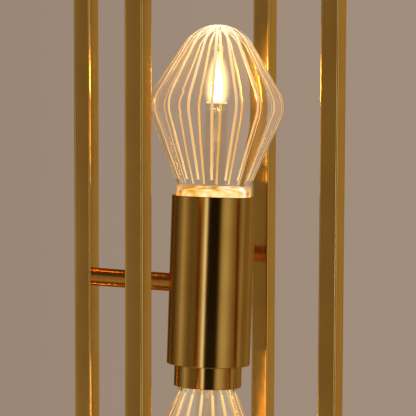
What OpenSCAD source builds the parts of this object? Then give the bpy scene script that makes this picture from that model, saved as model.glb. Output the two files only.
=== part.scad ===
// Floor lamp: two crossing frames of square brass tube on a round weighted base.
// Two turned holders hang inside the cage, each on one round arm, with a bulb at either end.
// Origin: centre of the footprint, on the floor. +Z up. The frames lie along X and Y.

/* [Frame] */
// Height from the floor to the top of the frames
lamp_h = 1450; // [1300:5:1700]
// Outer width of each frame, across two opposite posts
frame_w = 224; // [216:1:250]
// Side of the square tube
tube = 15; // [14:0.5:18]
// Wall of the square tube
tube_wall = 1.5; // [1:0.1:2]
// Rounding of the tube's outer corners
tube_round = 1.5; // [0.8:0.1:2.5]

/* [Base] */
// Diameter of the base plate
base_d = 300; // [280:1:360]
// Thickness of the base plate
base_t = 20; // [18:0.5:28]
// Rounding of the base plate's upper edge
base_round = 3; // [1:0.5:6]
// Diameter of the wiring recess under the base
recess_d = 150; // [110:1:156]
// Depth of the wiring recess
recess_h = 14; // [13:0.5:15]
// Width of the ledge that the bottom cover lies on
ledge_w = 10; // [9:0.5:11]
// Thickness of the bottom cover
cover_t = 1.5; // [1:0.1:1.8]
// Diameter of each foot pad
pad_d = 26; // [18:1:30]
// Thickness of each foot pad
pad_t = 4; // [3:0.5:8]
// Number of foot pads
pad_n = 4; // [3:1:6]

/* [Cord inlet] */
// Bore of the inlet bush, for a round mains lead
inlet_bore = 6.5; // [5:0.1:7]
// Diameter of the bush in the rim
inlet_d = 10; // [9:0.1:11]
// Length of the bush, from its flange to its tip
inlet_len = 14; // [11:0.5:18]
// Angle of the inlet from the back post, towards the left post
inlet_angle = 22.5; // [18:0.5:26]

/* [Arms] */
// Height of the lower arm's axis
low_arm_z = 425; // [380:1:520]
// Height of the upper arm's axis
high_arm_z = 1040; // [960:1:1080]
// Diameter of each arm
arm_d = 14; // [12:0.5:16]
// Lead bore through each arm
arm_bore = 6.5; // [6.4:0.1:7.5]
// Diameter of the threaded ends of an arm
spigot_d = 10; // [9.5:0.1:10.5]
// Diameter of the flange inside the holder
hub_d = 23; // [22:0.5:25]
// Thickness of that flange
hub_t = 2.5; // [2:0.1:3]
// How far the holders' axis lies to the right of the cage's axis
holder_off = 5; // [0:0.5:10]
// Turn of the lower holder about its arm, from upright
low_tilt = 0; // [-10:0.1:10]
// Turn of the upper holder about its arm, from upright
high_tilt = -3.7; // [-10:0.1:10]
// Swing that the stop pin allows each way from upright
swing = 12; // [10.5:0.5:14]

/* [Holder] */
// Outer diameter of the holder sleeve
sleeve_d = 63.5; // [62.5:0.5:70]
// Wall of the sleeve
sleeve_wall = 1.5; // [1:0.1:2]
// Sleeve above the arm's axis
sleeve_up = 68; // [66:0.5:72]
// Sleeve below the arm's axis
sleeve_down = 60; // [58:0.5:61]
// Outer diameter of the lower collar
collar_d = 51.5; // [49:0.5:54]
// Wall of the collar
collar_wall = 2; // [1.2:0.1:2.5]
// Height of the collar below the sleeve
collar_h = 17; // [12:0.5:20]
// Thickness of the turned-in rims and flanges
rim_t = 2; // [1.5:0.1:2.5]
// Half the clear height between the two carrier plates
carrier_gap = 14; // [13:0.5:15]
// Thickness of the carrier's sheet
carrier_t = 2; // [1.5:0.1:2.5]

/* [Lampholder] */
// Outer diameter of the lampholder
lampholder_d = 39; // [36:0.5:42]
// Height of the lampholder
lampholder_h = 34; // [33:0.5:35]
// Thickness of the lampholder's floor
lampholder_floor = 6; // [5:0.5:7]
// Diameter of the screw cap's thread
cap_d = 26; // [25:0.1:27]
// Length of the screw cap's shell
cap_len = 21; // [19:0.5:22]

/* [Bulbs] */
// Wall of the clear envelope
glass_wall = 3; // [2:0.1:4]
// Radius at which the two cones would meet in a sharp edge
girdle_r = 54; // [50:0.5:60]
// Rounding of that edge
girdle_round = 20; // [10:0.5:24]
// Angle of the cone next to the neck, from the bulb's axis
neck_angle = 23; // [20:0.5:28]
// Angle of the cone next to the tip, from the bulb's axis
tip_angle = 31.4; // [28:0.1:35]
// Distance from the sharp edge to the tip
crown_h = 60; // [55:0.5:66]
// Neck radius of the bulb that points up
up_neck_r = 28.2; // [26:0.1:28.5]
// Neck that the bulb shows above the sleeve
up_neck_h = 9; // [5:0.5:12]
// Neck radius of the bulb that points down
down_neck_r = 20.5; // [19:0.1:22]
// Radius of the clear pillar inside each bulb
pillar_r = 8.7; // [7:0.1:10]
// Wall of the clear pillar
pillar_wall = 1.2; // [0.8:0.1:2]
// Height of the flame-shaped lens on the pillar
flame_h = 33; // [24:0.5:36]
// Radius of the flame-shaped lens
flame_r = 8.2; // [6.5:0.1:8.6]
// Height of the frosted ring over the diodes
lens_h = 7.2; // [5:0.1:9]
// Number of lines engraved in each envelope, an even number
line_n = 18; // [12:2:20]
// Width of each engraved line
line_w = 2.4; // [1.6:0.1:2.8]
// Depth of each engraved line
line_depth = 0.6; // [0.3:0.1:1]
// Plain cone between the neck and the start of the lines
line_start = 4; // [2:0.5:8]
// Turn of the lines from the arm's direction, in degrees
line_turn = 13; // [0:1:19]

/* [Hidden] */
$fn = 96;

// Fits: a loose fit of fixed pieces, a thread, a running fit, and air between turning pieces
loose_fit = 0.25;
thread_fit = 0.05;
run_fit = 0.05;
air = 0.3;

// Names of the two holders and of the two ends of a holder
low = 0;
high = 1;
up = 0;
down = 1;

// Cage: distance of the posts' centres from the axis, and the heights of the base
post_x = (frame_w - tube) / 2;
plate_z0 = pad_t;
plate_z1 = pad_t + base_t;
tube_in = tube - 2 * tube_wall;
block_side = tube_in - 2 * thread_fit;
plug_h = 16;

// Nipples and nuts that clamp the posts to the base
nipple_bore = 7;
nut_af = 14;
nut_t = 3;
nut_pocket_d = 19;
nut_pocket_h = 10;
nipple_tip = 1;

// Bottom cover, its screws and the pads
cover_d = recess_d + 2 * ledge_w - 2 * loose_fit;
cover_screw_d = 4;
cover_screw_n = 4;
cover_screw_r = (recess_d + ledge_w) / 2;
screw_head_d = 7;
screw_head_t = 1.8;
screw_grip = 8;
pad_inset = 8;
pad_ring_r = base_d / 2 - pad_inset - pad_d / 2;

// Cord inlet: the bush lies in the rim beside the back post, and the lead runs on in a channel
inlet_flange_d = inlet_d + 3;
inlet_flange_t = 2;
inlet_seat_d = inlet_flange_d + 0.8;
inlet_seat_y = base_d / 2 - inlet_flange_t - 0.6;
inlet_z = plate_z0 + recess_h / 2;
inlet_wall = 8;
inlet_nut_t = 2.5;
channel_w = 16;

// Leads: two round leads side by side, from the terminal block to the arms
lead_r = 1.5;
lead_y = 1.6;
channel_lead_w = 9;
lead_z = plate_z0 + cover_t + lead_r + air;
block_l = 30;
block_w = 18;
block_h = recess_h - cover_t - 1;

// Arms: places along X from the holder's axis
arm_z = [low_arm_z, high_arm_z];
tilt = [low_tilt, high_tilt];
post_face = post_x + holder_off - tube / 2;
arm_engage = 4;
washer_t = 0.8;
hub_x = 20;
plate_t = 3;
hub_nut_t = 6;
shoulder_x = hub_x + washer_t;
spigot_x = hub_x - plate_t - washer_t - hub_nut_t - 1;
stop_r = 1.25;
stop_ring = hub_d / 2 - stop_r - 1.4;
washer_d = 2 * (stop_ring - stop_r - 0.4);
stop_air = 0.25;
arm_block_h = 20;

// Holder: radii inside the sleeve, and places along the holder's axis from the arm
sleeve_r = sleeve_d / 2;
sleeve_in = sleeve_r - sleeve_wall;
edge_ease = 0.5;
collar_r = collar_d / 2;
collar_end = sleeve_down + collar_h;
carrier_seat = carrier_gap + carrier_t;
carrier_half_w = 15;
nipple_drop = carrier_gap - 6;
nipple_r = 5;
holder_end = carrier_seat + lampholder_h;
contact_t = 1;
shell_gap = 0.4;
shell_wall = 0.5;
tip_t = carrier_seat + lampholder_floor + contact_t + air;

// Bulbs: the cap, then the housing, then the envelope's seat
cap_r = cap_d / 2;
cap_tip_r = 4.8;
cap_tip_h = 1.2;
cap_cone_h = 2.5;
cap_end = tip_t + cap_tip_h + cap_cone_h + cap_len;
flare_t = max(cap_end, holder_end) + air;
glass_seat = [sleeve_up - 8, sleeve_down + 2];
neck_r = [up_neck_r, down_neck_r];
cone_t = [sleeve_up + up_neck_h, collar_end];
girdle_t = [for (v = [up, down]) cone_t[v] + (girdle_r - neck_r[v]) / tan(neck_angle)];
board_t = 1.6;
board_lift = 3.5;
glue = 0.2;
film = 0.05;
groove_w = 4;
groove_h = 1.4;
head_h = 4.5;
head_drop = 2.7;
flame_start = 0.18;
flame_taper = 0.3;
line_end_r = line_n * line_w / PI / 2 + 1;

// Shared functions: an arc as points, and a bulb outline set in from the outer face
function arc(cx, cy, r, a0, a1, n) =
    [for (i = [0 : n]) let (a = a0 + (a1 - a0) * i / n) [cx + r * cos(a), cy + r * sin(a)]];

// Radius of the dome that touches the tip cone and ends crown_h past the sharp edge
dome_r = (girdle_r * cos(tip_angle) - crown_h * sin(tip_angle)) / (1 - sin(tip_angle));

// Outline of one bulb from its seat to its tip: neck, cone, rounded girdle, cone, dome
function bulb_outline(v, set_in) =
    let (shift_a = set_in / cos(neck_angle))
    let (shift_b = set_in / cos(tip_angle))
    let (slope = tan(neck_angle) + tan(tip_angle))
    let (t_edge = girdle_t[v] + (shift_a - shift_b) / slope)
    let (r_edge = girdle_r - shift_a + tan(neck_angle) * (t_edge - girdle_t[v]))
    let (r_neck = neck_r[v] - set_in)
    let (t_neck = t_edge - (r_edge - r_neck) / tan(neck_angle))
    let (round_r = girdle_round - set_in)
    let (half = (neck_angle + tip_angle) / 2)
    let (lean = (tip_angle - neck_angle) / 2)
    let (cr = r_edge - round_r / cos(half) * cos(lean))
    let (ct = t_edge - round_r / cos(half) * sin(lean))
    let (dome_t = girdle_t[v] + crown_h - dome_r)
    concat(
        [[r_neck, glass_seat[v]], [r_neck, t_neck]],
        arc(cr, ct, round_r, -neck_angle, tip_angle, 6),
        arc(0, dome_t, dome_r - set_in, tip_angle, 90, 8)
    );

// Places a piece of a holder: on its arm's axis, turned by its tilt
module at_holder(h) {
    translate([holder_off, 0, arm_z[h]])
        rotate([tilt[h], 0, 0])
            children();
}

// Places a piece at one end of a holder, with +Z pointing out of that end
module at_end(h, v) {
    at_holder(h)
        rotate([v == up ? 0 : 180, 0, 0])
            children();
}

// Places a piece on an arm: +Z runs along the arm from the holder's axis to the left post
module on_arm(h) {
    translate([holder_off, 0, arm_z[h]])
        rotate([0, -90, 0])
            children();
}

// Repeats a piece at the four posts
module at_posts() {
    for (a = [0 : 90 : 270])
        rotate([0, 0, a])
            translate([post_x, 0, 0])
                children();
}

// A square with rounded corners, made of straight sides and short arcs
module rounded_square(side, r) {
    c = side / 2 - r;
    polygon(concat(
        arc(c, c, r, 0, 90, 5),
        arc(-c, c, r, 90, 180, 5),
        arc(-c, -c, r, 180, 270, 5),
        arc(c, -c, r, 270, 360, 5)
    ));
}

// Square tube standing on z = 0
module square_tube(len) {
    linear_extrude(len)
        difference() {
            rounded_square(tube, tube_round);
            square(tube_in, center = true);
        }
}

// Hexagon nut with its bore, standing on z = 0
module hex_nut(af, t, bore_d) {
    difference() {
        cylinder(h = t, r = af / 2 / cos(30), $fn = 6);
        translate([0, 0, -1])
            cylinder(h = t + 2, d = bore_d);
    }
}

// Base: turned plate with the wiring recess, the nut pockets and the cord channel below
module base_plate() {
    r = base_d / 2;
    color("#a8803c")
        difference() {
            rotate_extrude()
                polygon(concat(
                    [[0, plate_z0], [r - 1, plate_z0], [r, plate_z0 + 1]],
                    arc(r - base_round, plate_z1 - base_round, base_round, 0, 90, 5),
                    [[0, plate_z1]]
                ));
            translate([0, 0, plate_z0 - 1])
                cylinder(h = recess_h + 1, d = recess_d);
            translate([0, 0, plate_z0 - 1])
                cylinder(h = cover_t + 1, r = recess_d / 2 + ledge_w);
            at_posts() {
                translate([0, 0, plate_z0 - 1])
                    cylinder(h = nut_pocket_h + 1, d = nut_pocket_d);
                cylinder(h = plate_z1 + 1, d = spigot_d + 2 * loose_fit);
            }
            for (a = [0 : 360 / cover_screw_n : 359])
                rotate([0, 0, a + 45])
                    translate([cover_screw_r, 0, plate_z0])
                        cylinder(h = screw_grip + 1, d = cover_screw_d + 2 * thread_fit);
            lead_channel();
            cord_channel();
            rim_bore();
        }
}

// Channel from the recess to the left post's nut pocket
module lead_channel() {
    translate([-post_x, -channel_lead_w / 2, plate_z0 - 1])
        cube([post_x - recess_d / 2 + 5, channel_lead_w, nut_pocket_h - 1]);
}

// Channel for the mains lead, from the recess to the rim at the back
module cord_channel() {
    y0 = recess_d / 2 - 5;
    y1 = inlet_seat_y - inlet_wall;
    rotate([0, 0, inlet_angle])
        translate([-channel_w / 2, y0, plate_z0 - 1])
            cube([channel_w, y1 - y0, recess_h + 1]);
}

// Bore through the rim, with the spot face that the bush's flange seats on
module rim_bore() {
    at_inlet(base_d / 2 + 1) {
        cylinder(h = base_d / 2 - recess_d / 2, d = inlet_d + 2 * loose_fit);
        cylinder(h = base_d / 2 + 1 - inlet_seat_y, d = inlet_seat_d);
    }
}

// Places a piece on the cord inlet's axis, y out from the lamp's axis, with +Z pointing inwards
module at_inlet(y) {
    rotate([0, 0, inlet_angle])
        translate([0, y, inlet_z])
            rotate([90, 0, 0])
                children();
}

// Pressed steel cover that closes the recess
module base_cover() {
    color("#8a8a88")
        difference() {
            translate([0, 0, plate_z0])
                cylinder(h = cover_t, d = cover_d);
            for (a = [0 : 360 / cover_screw_n : 359])
                rotate([0, 0, a + 45])
                    translate([cover_screw_r, 0, plate_z0 - 1])
                        cylinder(h = cover_t + 2, d = cover_screw_d + 2 * loose_fit);
        }
}

// Pan-head screws of the cover
module cover_screws() {
    color("#b8b8b4")
        for (a = [0 : 360 / cover_screw_n : 359])
            rotate([0, 0, a + 45])
                translate([cover_screw_r, 0, plate_z0]) {
                    translate([0, 0, -screw_head_t])
                        cylinder(h = screw_head_t, d = screw_head_d);
                    translate([0, 0, -screw_head_t / 2])
                        cylinder(h = screw_grip + screw_head_t / 2, d = cover_screw_d);
                }
}

// Rubber pads that the lamp stands on
module foot_pads() {
    color("#2a2a2a")
        for (a = [0 : 360 / pad_n : 359])
            rotate([0, 0, a + 45])
                translate([pad_ring_r, 0, 0])
                    rotate_extrude()
                        polygon([[0, 0], [pad_d / 2 - 1, 0], [pad_d / 2, 1], [pad_d / 2, pad_t], [0, pad_t]]);
}

// Two-way terminal block on the recess's ceiling
module terminal_block() {
    z1 = plate_z0 + recess_h;
    color("#e8e4d8")
        difference() {
            translate([-block_l / 2, -block_w / 2, z1 - block_h])
                cube([block_l, block_w, block_h]);
            for (x = [-8, 8], y = [-4, 4])
                translate([x, y, z1 - block_h - 1])
                    cylinder(h = 6, d = 4);
        }
}

// Bush that guides and holds the mains lead in the rim
module inlet_bush() {
    color("#241f1a")
        at_inlet(inlet_seat_y + inlet_flange_t)
            difference() {
                union() {
                    cylinder(h = inlet_flange_t, d = inlet_flange_d);
                    cylinder(h = inlet_len, d = inlet_d);
                }
                translate([0, 0, -1])
                    cylinder(h = inlet_len + 2, d = inlet_bore);
            }
}

// Nut that pulls the bush's flange against the rim
module inlet_nut() {
    color("#b8b8b4")
        at_inlet(inlet_seat_y - inlet_wall)
            hex_nut(nut_af - 1, inlet_nut_t, inlet_d + 2 * thread_fit);
}

// One post: a tube whose top end is mitred to meet the bar above it
module post() {
    difference() {
        translate([0, 0, plate_z1])
            square_tube(lamp_h - plate_z1);
        translate([0, 0, lamp_h - tube / 2])
            rotate([0, -45, 0])
                translate([-tube * 2, -tube, 0])
                    cube([tube * 4, tube * 2, tube * 2]);
    }
}

module plain_post(a) {
    color("#b08a3e")
        rotate([0, 0, a])
            translate([post_x, 0, 0])
                post();
}

// The left post also has a hole for each arm's threaded end
module post_left() {
    color("#b08a3e")
        difference() {
            rotate([0, 0, 180])
                translate([post_x, 0, 0])
                    post();
            for (h = [low, high])
                on_arm(h)
                    translate([0, 0, post_face - 1])
                        cylinder(h = tube_wall + 3, d = spigot_d + 2 * loose_fit);
        }
}

// Threaded plugs brazed into the posts' feet
module post_plugs() {
    color("#8a8a88")
        at_posts()
            translate([-block_side / 2, -block_side / 2, plate_z1])
                difference() {
                    cube([block_side, block_side, plug_h]);
                    translate([block_side / 2, block_side / 2, -1])
                        cylinder(h = plug_h + 2, d = spigot_d + 2 * thread_fit);
                }
}

// Hollow threaded nipples that join the posts to the base
module post_nipples() {
    z0 = plate_z0 + nut_pocket_h - nut_t - nipple_tip;
    color("#c0b080")
        at_posts()
            translate([0, 0, z0])
                difference() {
                    cylinder(h = plate_z1 + plug_h - 2 - z0, d = spigot_d);
                    translate([0, 0, -1])
                        cylinder(h = base_t + plug_h + 2, d = nipple_bore);
                }
}

// Nuts in the pockets under the base
module post_nuts() {
    color("#b8b8b4")
        at_posts()
            translate([0, 0, plate_z0 + nut_pocket_h - nut_t])
                hex_nut(nut_af, nut_t, spigot_d + 2 * thread_fit);
}

// Top bar that runs from the left post to the right post, mitred at both ends
module top_bar_long() {
    color("#b08a3e")
        difference() {
            translate([-frame_w / 2, 0, lamp_h - tube / 2])
                rotate([0, 90, 0])
                    square_tube(frame_w);
            for (s = [0, 180])
                rotate([0, 0, s])
                    mitre_block();
        }
}

// Block below a corner's mitre plane, which trims a bar's end
module mitre_block() {
    translate([post_x, 0, lamp_h - tube / 2])
        rotate([0, -45, 0])
            translate([-tube * 2, -tube, -tube * 2])
                cube([tube * 4, tube * 2, tube * 2]);
}

// Two half bars that butt against the long bar and reach the front and back posts
module top_bars_short() {
    color("#b08a3e")
        for (a = [90, 270])
            rotate([0, 0, a])
                difference() {
                    translate([tube / 2, 0, lamp_h - tube / 2])
                        rotate([0, 90, 0])
                            square_tube(frame_w / 2 - tube / 2);
                    mitre_block();
                }
}

// Blocks brazed inside the left post, which the arms screw into
module arm_blocks() {
    color("#8a8a88")
        for (h = [low, high])
            translate([-post_x, 0, arm_z[h]])
                difference() {
                    cube([block_side, block_side, arm_block_h], center = true);
                    cylinder(h = arm_block_h + 2, d = nipple_bore + 1, center = true);
                    rotate([0, 90, 0])
                        cylinder(h = tube, d = spigot_d + 2 * thread_fit);
                }
}

// Two leads: along the base channel, up the left post, and out through one arm each
module lead_harness() {
    x0 = -post_x;
    color("#d8d4c8")
        for (h = [low, high])
            translate([0, h == low ? -lead_y : lead_y, 0]) {
                translate([x0, 0, lead_z])
                    rotate([0, 90, 0])
                        cylinder(h = post_x - block_l / 2, r = lead_r - 0.05);
                translate([x0, 0, lead_z - lead_r])
                    cylinder(h = arm_z[h] - lead_z + 2 * lead_r, r = lead_r);
                translate([x0, 0, arm_z[h]])
                    rotate([0, 90, 0])
                        cylinder(h = post_x + holder_off - spigot_x, r = lead_r - 0.05);
            }
}

// Arm: a turned tube with a thread at the post, and a flange, a stop pin and a thread inside
module arm(h) {
    color("#a8803c")
        on_arm(h)
            difference() {
                union() {
                    translate([0, 0, spigot_x])
                        cylinder(h = post_face + tube_wall + arm_engage - spigot_x, d = spigot_d);
                    translate([0, 0, shoulder_x + hub_t / 2])
                        cylinder(h = post_face - shoulder_x - hub_t / 2, d = arm_d);
                    translate([0, 0, shoulder_x])
                        cylinder(h = hub_t, d = hub_d);
                    translate([stop_ring, 0, hub_x - plate_t + 0.5])
                        cylinder(h = plate_t + washer_t + 0.5, r = stop_r);
                }
                translate([0, 0, spigot_x - 1])
                    cylinder(h = post_x * 2, d = arm_bore);
            }
}

// Fibre washers on both sides of each carrier, which give the swivel its friction
module hub_washers() {
    color("#5a3a22")
        for (h = [low, high], x = [hub_x, hub_x - plate_t - washer_t])
            on_arm(h)
                translate([0, 0, x])
                    difference() {
                        cylinder(h = washer_t, d = washer_d);
                        translate([0, 0, -1])
                            cylinder(h = washer_t + 2, d = spigot_d + 2 * thread_fit);
                    }
}

// Lock nuts that press the washers together
module hub_nuts() {
    color("#b8b8b4")
        for (h = [low, high])
            on_arm(h)
                translate([0, 0, hub_x - plate_t - washer_t - hub_nut_t])
                    hex_nut(nut_af, hub_nut_t, spigot_d + 2 * thread_fit);
}

// Sleeve: a tube with eased rims, a turned-in lower rim and the hole for the arm
module sleeve(h) {
    e = edge_ease;
    r = sleeve_r;
    color("#a07830")
        at_holder(h)
            difference() {
                rotate_extrude()
                    polygon(concat(
                        [[collar_r + loose_fit, -sleeve_down]],
                        arc(r - e, -sleeve_down + e, e, -90, 0, 3),
                        arc(r - e, sleeve_up - e, e, 0, 90, 3),
                        [
                            [sleeve_in, sleeve_up],
                            [sleeve_in, -sleeve_down + rim_t],
                            [collar_r + loose_fit, -sleeve_down + rim_t]
                        ]
                    ));
                rotate([0, -90, 0])
                    cylinder(h = sleeve_d, d = arm_d + 2 * air);
            }
}

// Collar: a shorter tube that hangs from the sleeve's lower rim by its flange
module collar(h) {
    e = edge_ease;
    r = collar_r;
    top = sleeve_down - 2 * rim_t;
    color("#a07830")
        at_end(h, down)
            rotate_extrude()
                polygon(concat(
                    [[r - collar_wall, top], [sleeve_in - loose_fit, top]],
                    [[sleeve_in - loose_fit, top + rim_t], [r, top + rim_t]],
                    arc(r - e, collar_end - e, e, 0, 90, 3),
                    [[r - collar_wall, collar_end]]
                ));
}

// Carrier: two round plates and a web, with the swivel's bore and the stop's curved slot
module carrier(h) {
    slot_w = stop_r + stop_air;
    color("#c8c4b8")
        at_holder(h)
            difference() {
                union() {
                    for (s = [0, 180])
                        rotate([s, 0, 0])
                            translate([0, 0, carrier_gap])
                                cylinder(h = carrier_t, r = sleeve_in - loose_fit);
                    translate([-hub_x, -carrier_half_w, -carrier_gap - carrier_t / 2])
                        cube([plate_t, 2 * carrier_half_w, 2 * carrier_gap + carrier_t]);
                }
                cylinder(h = 4 * carrier_gap, r = nipple_r + thread_fit, center = true);
                rotate([0, -90, 0]) {
                    cylinder(h = 2 * hub_x, d = spigot_d + 2 * run_fit);
                    translate([0, 0, hub_x - plate_t - 1]) {
                        rotate([0, 0, -swing])
                            rotate_extrude(angle = 2 * swing)
                                translate([stop_ring - slot_w, 0])
                                    square([2 * slot_w, plate_t + 2]);
                        for (s = [-1, 1])
                            rotate([0, 0, s * swing])
                                translate([stop_ring, 0, 0])
                                    cylinder(h = plate_t + 2, r = slot_w);
                    }
                }
            }
}

// Lampholder: a ceramic cup with a hollow threaded stem that goes through the carrier
module lampholder(h, v) {
    t0 = carrier_seat;
    r = lampholder_d / 2;
    color("#ece6da")
        at_end(h, v)
            difference() {
                rotate_extrude()
                    polygon(concat(
                        [[0, nipple_drop], [nipple_r, nipple_drop], [nipple_r, t0], [r - 2, t0]],
                        [[r, t0 + 2], [r, holder_end - 1], [r - 1, holder_end], [0, holder_end]]
                    ));
                translate([0, 0, t0 + lampholder_floor])
                    cylinder(h = lampholder_h, r = cap_r + shell_gap + shell_wall + 0.1);
                translate([0, 0, nipple_drop - 1])
                    cylinder(h = lampholder_h, r = nipple_r - 2);
            }
}

// Nuts that clamp both lampholders to the carrier
module holder_nuts(h) {
    color("#b8b8b4")
        for (v = [up, down])
            at_end(h, v)
                translate([0, 0, carrier_gap - nut_t])
                    hex_nut(nut_af, nut_t, 2 * (nipple_r + thread_fit));
}

// Contacts of both lampholders: a threaded shell and a centre contact each
module contacts(h) {
    t0 = carrier_seat + lampholder_floor;
    color("#c8a860")
        for (v = [up, down])
            at_end(h, v) {
                translate([0, 0, t0])
                    cylinder(h = contact_t, r = cap_tip_r);
                translate([0, 0, t0 + cap_cone_h])
                    difference() {
                        cylinder(h = holder_end - t0 - cap_cone_h - 2, r = cap_r + shell_gap + shell_wall);
                        translate([0, 0, -1])
                            cylinder(h = lampholder_h, r = cap_r + shell_gap);
                    }
            }
}

// Leads from the arm to both lampholders
module holder_leads(h) {
    color("#d8d4c8")
        at_holder(h) {
            cylinder(h = 2 * (carrier_seat + lampholder_floor - air), r = lead_r, center = true);
            translate([-spigot_x + air, 0, 0])
                rotate([0, 90, 0])
                    cylinder(h = spigot_x - air, r = lead_r - 0.05);
        }
}

// Envelope: a clear shell, from its seat on the housing to its domed tip, with engraved lines
module glass(h, v) {
    outer = bulb_outline(v, 0);
    inner = bulb_outline(v, glass_wall);
    n = len(inner);
    color("#e8d8b0", 0.4)
        at_end(h, v)
            difference() {
                rotate_extrude()
                    polygon(concat(outer, [for (i = [n - 1 : -1 : 0]) inner[i]]));
                for (i = [1 : line_n / 2])
                    rotate([0, 0, line_turn + i * 360 / line_n])
                        line_cutter(v);
            }
}

// Cutter for two opposite lines: what lies outside the lines' floor, as thick as a line
module line_cutter(v) {
    t0 = cone_t[v] + line_start;
    lift = line_start * tan(neck_angle);
    floor_line = [
        for (p = bulb_outline(v, line_depth))
            if (p[1] > t0 && p[0] > line_end_r) p
    ];
    last = floor_line[len(floor_line) - 1];
    far = girdle_r + 10;
    rotate([90, 0, 0])
        translate([0, 0, -line_w / 2])
            linear_extrude(line_w)
                for (s = [-1, 1])
                    polygon([for (p = concat(
                        [[neck_r[v] + lift - line_depth / cos(neck_angle), t0]],
                        floor_line,
                        [[last[0], girdle_t[v] + crown_h + 5], [far, girdle_t[v] + crown_h + 5]],
                        [[far, t0]]
                    )) [s * p[0], p[1]]]);
}

// Clear pillar that stands on the board and carries the flame lens
module pillar(h, v) {
    t0 = glass_seat[v] + board_lift + board_t;
    t1 = girdle_t[v] - head_drop;
    color("#f0e8d0", 0.5)
        at_end(h, v)
            difference() {
                translate([0, 0, t0])
                    cylinder(h = t1 - t0, r = pillar_r);
                translate([0, 0, t0 - 1])
                    cylinder(h = t1 - t0 + 2, r = pillar_r - pillar_wall);
            }
}

// Light source: a flat head in the pillar's top and a flame-shaped lens
module flame(h, v) {
    t0 = girdle_t[v] - head_drop;
    r = pillar_r;
    color("#fff0c0")
        at_end(h, v)
            rotate_extrude()
                polygon(concat(
                    [[0, t0], [r, t0], [r, t0 + head_h - 1], [r - 1, t0 + head_h]],
                    [for (i = [0 : 8]) let (s = i / 8) [
                        flame_r * sqrt(sin(180 * (flame_start + (1 - flame_start) * s)))
                            * (1 - flame_taper * s),
                        t0 + head_h + flame_h * s
                    ]]
                ));
}

// Board of the light-emitting diodes, and the frosted ring over them with a groove for them
module led_board(h, v) {
    r = neck_r[v] - glass_wall - 2 * glue;
    hole_r = pillar_r + glue;
    mid_r = (r + hole_r) / 2;
    color("#f4f0e0")
        at_end(h, v)
            translate([0, 0, glass_seat[v] + board_lift]) {
                cylinder(h = board_t, r = r);
                translate([0, 0, board_t + film])
                    rotate_extrude()
                        polygon([
                            [hole_r, 0],
                            [mid_r - groove_w / 2, 0],
                            [mid_r - groove_w / 2, groove_h],
                            [mid_r + groove_w / 2, groove_h],
                            [mid_r + groove_w / 2, 0],
                            [r, 0],
                            [r, lens_h - 1],
                            [r - 1, lens_h],
                            [hole_r, lens_h]
                        ]);
            }
}

// Bulb base: contact tip, screw cap and housing in one, with the envelope's seat
module bulb_base(h, v) {
    s = glass_seat[v];
    r = neck_r[v];
    in_r = r - glass_wall - glue;
    color("#c8c0a8")
        at_end(h, v)
            rotate_extrude()
                polygon([
                    [0, tip_t],
                    [cap_tip_r, tip_t],
                    [cap_tip_r, tip_t + cap_tip_h],
                    [cap_r, tip_t + cap_tip_h + cap_cone_h],
                    [cap_r, flare_t],
                    [cap_r + 3, flare_t],
                    [r, s - 3],
                    [r, s],
                    [in_r, s],
                    [in_r, s + board_lift],
                    [0, s + board_lift]
                ]);
}

base_plate();
base_cover();
cover_screws();
foot_pads();
terminal_block();
inlet_bush();
inlet_nut();
post_left();
plain_post(0);  // post_right
plain_post(270);  // post_front
plain_post(90);  // post_back
post_plugs();
post_nipples();
post_nuts();
top_bar_long();
top_bars_short();
arm_blocks();
lead_harness();
arm(low);  // arm_low
arm(high);  // arm_high
hub_washers();
hub_nuts();
sleeve(low);  // sleeve_low
collar(low);  // collar_low
carrier(low);  // carrier_low
lampholder(low, up);  // lampholder_low_up
lampholder(low, down);  // lampholder_low_down
holder_nuts(low);  // holder_nuts_low
contacts(low);  // contacts_low
holder_leads(low);  // holder_leads_low
sleeve(high);  // sleeve_high
collar(high);  // collar_high
carrier(high);  // carrier_high
lampholder(high, up);  // lampholder_high_up
lampholder(high, down);  // lampholder_high_down
holder_nuts(high);  // holder_nuts_high
contacts(high);  // contacts_high
holder_leads(high);  // holder_leads_high
glass(low, up);  // glass_low_up
pillar(low, up);  // pillar_low_up
flame(low, up);  // flame_low_up
led_board(low, up);  // led_board_low_up
bulb_base(low, up);  // bulb_base_low_up
glass(low, down);  // glass_low_down
pillar(low, down);  // pillar_low_down
flame(low, down);  // flame_low_down
led_board(low, down);  // led_board_low_down
bulb_base(low, down);  // bulb_base_low_down
glass(high, up);  // glass_high_up
pillar(high, up);  // pillar_high_up
flame(high, up);  // flame_high_up
led_board(high, up);  // led_board_high_up
bulb_base(high, up);  // bulb_base_high_up
glass(high, down);  // glass_high_down
pillar(high, down);  // pillar_high_down
flame(high, down);  // flame_high_down
led_board(high, down);  // led_board_high_down
bulb_base(high, down);  // bulb_base_high_down
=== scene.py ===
import math
from functools import partial

import bmesh
import bpy
import numpy as np
from mathutils import Matrix


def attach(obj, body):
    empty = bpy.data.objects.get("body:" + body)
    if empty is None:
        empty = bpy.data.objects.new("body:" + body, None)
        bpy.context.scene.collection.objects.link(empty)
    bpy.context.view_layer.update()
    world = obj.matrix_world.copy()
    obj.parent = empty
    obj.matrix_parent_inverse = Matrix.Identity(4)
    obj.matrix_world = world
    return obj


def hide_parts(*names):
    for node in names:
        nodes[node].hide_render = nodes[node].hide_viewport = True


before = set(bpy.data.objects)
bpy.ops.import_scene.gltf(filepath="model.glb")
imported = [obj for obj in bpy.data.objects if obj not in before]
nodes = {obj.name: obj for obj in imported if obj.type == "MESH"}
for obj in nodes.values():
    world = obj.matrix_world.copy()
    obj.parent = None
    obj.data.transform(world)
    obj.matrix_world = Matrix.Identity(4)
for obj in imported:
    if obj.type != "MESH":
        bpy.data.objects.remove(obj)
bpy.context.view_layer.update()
MM = 0.001


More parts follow.
